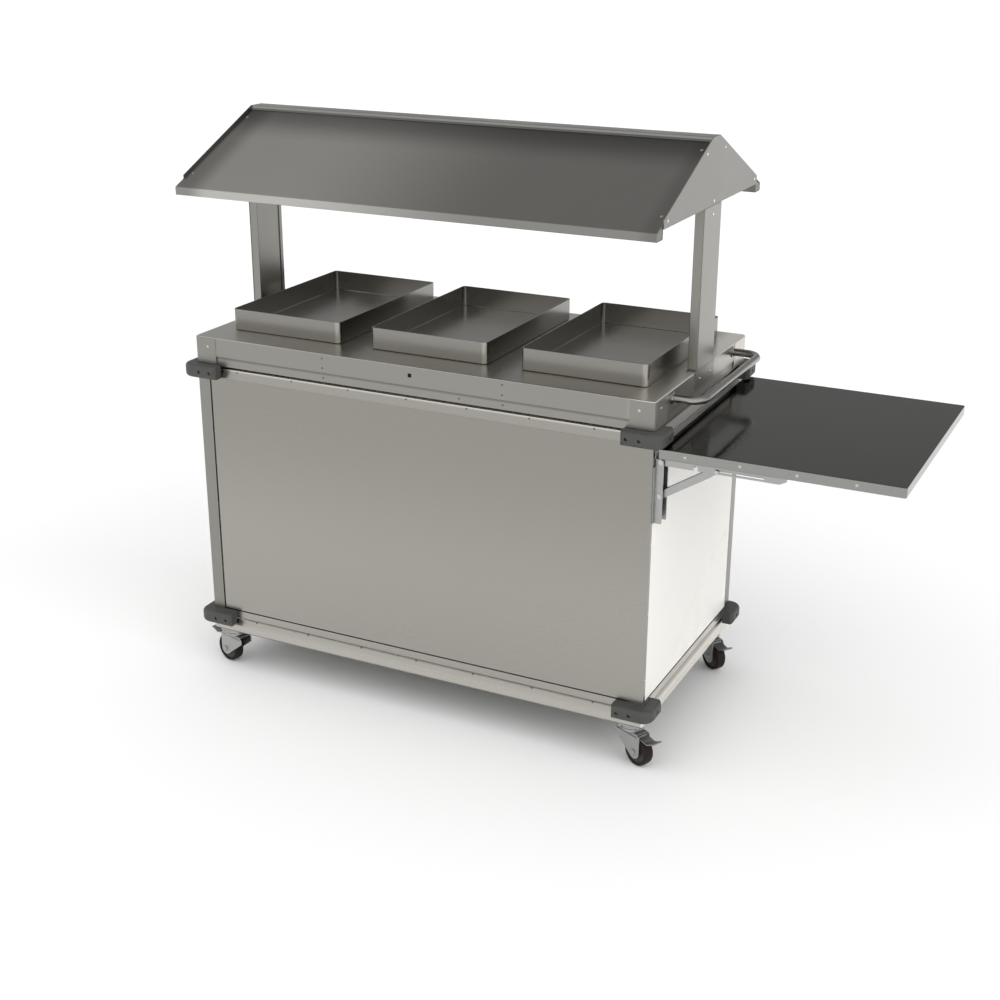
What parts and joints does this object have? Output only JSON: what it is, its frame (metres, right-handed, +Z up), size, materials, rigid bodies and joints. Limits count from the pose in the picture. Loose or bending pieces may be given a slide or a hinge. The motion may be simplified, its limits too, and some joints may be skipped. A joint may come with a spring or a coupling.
{
  "type": "merchandising cart",
  "caption": "Serving cart with a closed cabinet, gabled canopy on two posts, loose open pans, tube push handle, fold-down end shelf and braked swivel casters.",
  "frame": {"origin": "middle of the whole outline's footprint, on the floor", "axes": "+X along the cart towards the handle and the end shelf, +Y towards the rear doors, +Z up; the front panel faces -Y"},
  "size_m": [1.8182, 0.704, 1.441],
  "materials": {
    "stainless": "satin brushed",
    "coated_panel": "smooth off-white coating",
    "zinc_plate": "zinc plated",
    "frame_steel": "satin",
    "bumper_rubber": "moulded, satin",
    "wheel_rubber": "matte",
    "pedal_grey": "satin"
  },
  "bodies": {
    "cart": {"base_frame": "frame_steel", "cabinet_floor": "stainless", "base_rail": "stainless", "corner_posts": "stainless", "front_panel": "stainless", "left_end_panel": "coated_panel", "right_end_panel": "coated_panel", "upper_rail": "stainless", "middle_shelf": "stainless", "shelf_rests": "zinc_plate", "counter_stiffeners": "stainless", "countertop": "stainless", "corner_caps": "stainless", "fascia_band": "stainless", "panel_fasteners": "zinc_plate", "upper_bumpers": "bumper_rubber", "lower_bumpers": "bumper_rubber", "bumper_screws": "zinc_plate", "left_canopy_post": "stainless", "right_canopy_post": "stainless", "left_gable": "stainless", "right_gable": "stainless", "roof_sheet": "stainless", "ridge_cap": "stainless", "canopy_rivets": "zinc_plate", "push_handle": "stainless", "handle_flanges": "stainless", "bracket_legs": "zinc_plate", "bracket_pins": "zinc_plate", "fixed_hinge_leaves": "zinc_plate", "caster_plates": "zinc_plate"},
    "end_shelf": {"end_shelf": "stainless", "shelf_stiffener": "stainless", "bracket_arms": "zinc_plate", "catch_studs": "zinc_plate"},
    "front_strut": {"front_strut": "zinc_plate"},
    "rear_strut": {"rear_strut": "zinc_plate"},
    "left_door": {"left_door": "stainless", "left_door_leaves": "zinc_plate", "left_door_pull": "zinc_plate"},
    "right_door": {"right_door": "stainless", "right_door_leaves": "zinc_plate", "right_door_pull": "zinc_plate"},
    "left_pan": {"left_pan": "stainless"},
    "middle_pan": {"middle_pan": "stainless"},
    "right_pan": {"right_pan": "stainless"},
    "front_left_swivel": {"front_left_fork": "zinc_plate"},
    "front_left_wheel": {"front_left_wheel": "wheel_rubber"},
    "front_left_brake": {"front_left_brake": "pedal_grey"},
    "front_right_swivel": {"front_right_fork": "zinc_plate"},
    "front_right_wheel": {"front_right_wheel": "wheel_rubber"},
    "front_right_brake": {"front_right_brake": "pedal_grey"},
    "rear_left_swivel": {"rear_left_fork": "zinc_plate"},
    "rear_left_wheel": {"rear_left_wheel": "wheel_rubber"},
    "rear_left_brake": {"rear_left_brake": "pedal_grey"},
    "rear_right_swivel": {"rear_right_fork": "zinc_plate"},
    "rear_right_wheel": {"rear_right_wheel": "wheel_rubber"},
    "rear_right_brake": {"rear_right_brake": "pedal_grey"}
  },
  "joints": [
    {"name": "shelf_fold", "type": "hinge", "parent": "cart", "child": "end_shelf", "pos_m": [0.37014, 0, 0.7729], "axis": [0, 1, 0], "range_deg": [0, 90]},
    {"name": "front_strut_fold", "type": "hinge", "parent": "cart", "child": "front_strut", "pos_m": [0.37014, -0.286, 0.6929], "axis": [0, 1, 0], "range_deg": [0, 122.11]},
    {"name": "rear_strut_fold", "type": "hinge", "parent": "cart", "child": "rear_strut", "pos_m": [0.37014, 0.286, 0.6929], "axis": [0, 1, 0], "range_deg": [0, 122.11]},
    {"name": "left_door_swing", "type": "hinge", "parent": "cart", "child": "left_door", "pos_m": [-0.82436, 0.3205, 0.493], "axis": [0, 0, 1], "range_deg": [0, 110]},
    {"name": "right_door_swing", "type": "hinge", "parent": "cart", "child": "right_door", "pos_m": [0.32264, 0.3205, 0.493], "axis": [0, 0, -1], "range_deg": [0, 110]},
    {"name": "left_pan_lift", "type": "slide", "parent": "cart", "child": "left_pan", "axis": [0, 0, 1], "range_m": [0, 0.12]},
    {"name": "middle_pan_lift", "type": "slide", "parent": "cart", "child": "middle_pan", "axis": [0, 0, 1], "range_m": [0, 0.12]},
    {"name": "right_pan_lift", "type": "slide", "parent": "cart", "child": "right_pan", "axis": [0, 0, 1], "range_m": [0, 0.12]},
    {"name": "front_left_swivel", "type": "hinge", "parent": "cart", "child": "front_left_swivel", "pos_m": [-0.82286, -0.278, 0.0945], "axis": [0, 0, 1], "continuous": true},
    {"name": "front_left_roll", "type": "hinge", "parent": "front_left_swivel", "child": "front_left_wheel", "pos_m": [-0.84689, -0.27111, 0.0375], "axis": [-0.2756, -0.9613, 0], "continuous": true},
    {"name": "front_left_brake_press", "type": "hinge", "parent": "front_left_swivel", "child": "front_left_brake", "pos_m": [-0.85554, -0.26863, 0.079], "axis": [-0.2756, -0.9613, 0], "range_deg": [0, 8]},
    {"name": "front_right_swivel", "type": "hinge", "parent": "cart", "child": "front_right_swivel", "pos_m": [0.32114, -0.278, 0.0945], "axis": [0, 0, 1], "continuous": true},
    {"name": "front_right_roll", "type": "hinge", "parent": "front_right_swivel", "child": "front_right_wheel", "pos_m": [0.34361, -0.28896, 0.0375], "axis": [0.4384, 0.8988, 0], "continuous": true},
    {"name": "front_right_brake_press", "type": "hinge", "parent": "front_right_swivel", "child": "front_right_brake", "pos_m": [0.3517, -0.29291, 0.079], "axis": [0.4384, 0.8988, 0], "range_deg": [0, 8]},
    {"name": "rear_left_swivel", "type": "hinge", "parent": "cart", "child": "rear_left_swivel", "pos_m": [-0.82286, 0.278, 0.0945], "axis": [0, 0, 1], "continuous": true},
    {"name": "rear_left_roll", "type": "hinge", "parent": "rear_left_swivel", "child": "rear_left_wheel", "pos_m": [-0.84635, 0.28655, 0.0375], "axis": [-0.342, -0.9397, 0], "continuous": true},
    {"name": "rear_left_brake_press", "type": "hinge", "parent": "rear_left_swivel", "child": "rear_left_brake", "pos_m": [-0.85481, 0.28963, 0.079], "axis": [-0.342, -0.9397, 0], "range_deg": [0, 8]},
    {"name": "rear_right_swivel", "type": "hinge", "parent": "cart", "child": "rear_right_swivel", "pos_m": [0.32114, 0.278, 0.0945], "axis": [0, 0, 1], "continuous": true},
    {"name": "rear_right_roll", "type": "hinge", "parent": "rear_right_swivel", "child": "rear_right_wheel", "pos_m": [0.34162, 0.26366, 0.0375], "axis": [0.5736, 0.8192, 0], "continuous": true},
    {"name": "rear_right_brake_press", "type": "hinge", "parent": "rear_right_swivel", "child": "rear_right_brake", "pos_m": [0.34899, 0.2585, 0.079], "axis": [0.5736, 0.8192, 0], "range_deg": [0, 8]}
  ],
  "couplings": [
    {"joint": "front_strut_fold", "follows": "shelf_fold", "ratio": 1.3556},
    {"joint": "rear_strut_fold", "follows": "shelf_fold", "ratio": 1.3556}
  ]
}
